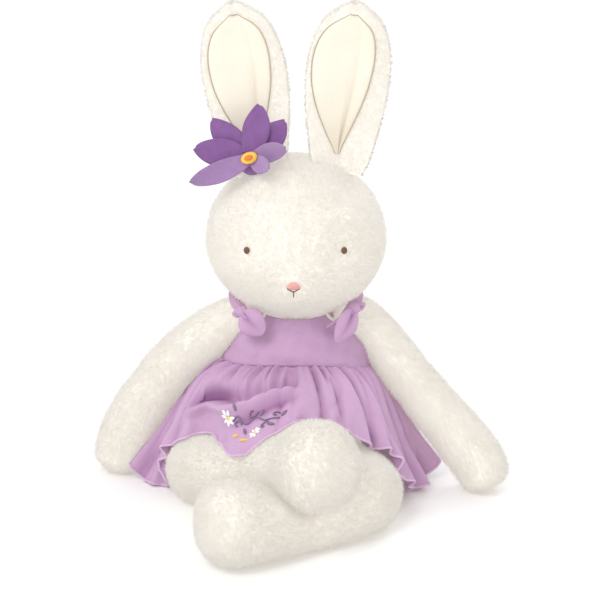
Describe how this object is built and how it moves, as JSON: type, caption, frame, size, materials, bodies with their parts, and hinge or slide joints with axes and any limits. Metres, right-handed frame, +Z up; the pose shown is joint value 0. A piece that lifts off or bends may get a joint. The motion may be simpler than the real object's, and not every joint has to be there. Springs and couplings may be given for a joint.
{
  "type": "stuffed bunny rabbit",
  "caption": "Seated plush bunny with crossed legs in a gathered sleeveless dress, with a felt flower by one ear; head, ears, arms and legs move.",
  "frame": {"origin": "centre of the round seat panel, on the surface the bunny sits on", "axes": "+Z up; the bunny faces -Y; +X is the bunny's own left"},
  "size_m": [0.2822, 0.2686, 0.3433],
  "materials": {
    "fur": "soft cream plush with a short pile",
    "ear_velour": "short smooth velour",
    "polyester_fill": "loose polyester fibre",
    "pellet_cotton": "plain woven bag of pellets",
    "lilac_cotton": "plain woven cotton, matte",
    "purple_felt": "pressed felt, matte",
    "yellow_thread": "satin stitched thread",
    "brown_thread": "satin stitched thread",
    "pink_thread": "satin stitched thread",
    "white_thread": "embroidery thread",
    "violet_thread": "embroidery thread"
  },
  "bodies": {
    "torso": {"seat_panel": "fur", "torso_front": "fur", "torso_back": "fur", "torso_fill": "polyester_fill", "pellet_bag": "pellet_cotton", "tail": "fur", "right_thigh_skin": "fur", "right_thigh_fill": "polyester_fill", "left_thigh_skin": "fur", "left_thigh_fill": "polyester_fill", "bodice_front": "lilac_cotton", "bodice_back": "lilac_cotton", "waistband": "lilac_cotton", "skirt_front": "lilac_cotton", "skirt_back": "lilac_cotton", "right_strap": "lilac_cotton", "left_strap": "lilac_cotton", "right_knot": "lilac_cotton", "left_knot": "lilac_cotton", "right_tie": "lilac_cotton", "left_tie": "lilac_cotton", "large_daisy": "white_thread", "small_daisy": "white_thread", "stitched_scroll": "violet_thread"},
    "neck": {"neck_seam": "white_thread"},
    "head": {"head_face": "fur", "head_back": "fur", "head_fill": "polyester_fill", "right_eye": "brown_thread", "left_eye": "brown_thread", "nose": "pink_thread", "mouth_stitch": "brown_thread", "flower_back_petals": "purple_felt", "flower_front_petals": "purple_felt", "flower_centre": "yellow_thread"},
    "right_ear": {"right_ear_back": "fur", "right_ear_lining": "ear_velour"},
    "left_ear": {"left_ear_back": "fur", "left_ear_lining": "ear_velour"},
    "right_arm": {"right_arm_outer": "fur", "right_arm_inner": "fur", "right_arm_fill": "polyester_fill"},
    "left_arm": {"left_arm_outer": "fur", "left_arm_inner": "fur", "left_arm_fill": "polyester_fill"},
    "right_lower_leg": {"right_shin_skin": "fur", "right_shin_fill": "polyester_fill"},
    "left_lower_leg": {"left_shin_skin": "fur", "left_shin_fill": "polyester_fill"}
  },
  "joints": [
    {"name": "head_turn", "type": "hinge", "parent": "torso", "child": "neck", "pos_m": [0, -0.006, 0.127], "axis": [0, 0, 1], "range_deg": [-40, 40]},
    {"name": "head_nod", "type": "hinge", "parent": "neck", "child": "head", "pos_m": [0, -0.006, 0.127], "axis": [1, 0, 0], "range_deg": [-15, 18]},
    {"name": "right_ear_fold", "type": "hinge", "parent": "head", "child": "right_ear", "pos_m": [-0.025, -0.001, 0.244], "axis": [-1, 0, 0], "range_deg": [-5, 70], "stiffness_Nm_per_rad": 0.02},
    {"name": "left_ear_fold", "type": "hinge", "parent": "head", "child": "left_ear", "pos_m": [0.03, -0.001, 0.244], "axis": [-1, 0, 0], "range_deg": [-5, 70], "stiffness_Nm_per_rad": 0.02},
    {"name": "right_arm_swing", "type": "hinge", "parent": "torso", "child": "right_arm", "pos_m": [-0.045, 0, 0.117], "axis": [-0.8211, 0.5708, 0], "range_deg": [0, 95]},
    {"name": "left_arm_swing", "type": "hinge", "parent": "torso", "child": "left_arm", "pos_m": [0.045, -0.001, 0.117], "axis": [-0.8211, -0.5708, 0], "range_deg": [0, 85]},
    {"name": "right_knee_lift", "type": "hinge", "parent": "torso", "child": "right_lower_leg", "pos_m": [-0.062, -0.048, 0.025], "axis": [-0.7469, -0.6649, 0], "range_deg": [0, 30], "deforming": ["skirt_front", "large_daisy", "small_daisy", "stitched_scroll"]},
    {"name": "left_knee_swing", "type": "hinge", "parent": "torso", "child": "left_lower_leg", "pos_m": [0.045, -0.096, 0.0225], "axis": [0, 0, 1], "range_deg": [0, 60]}
  ]
}
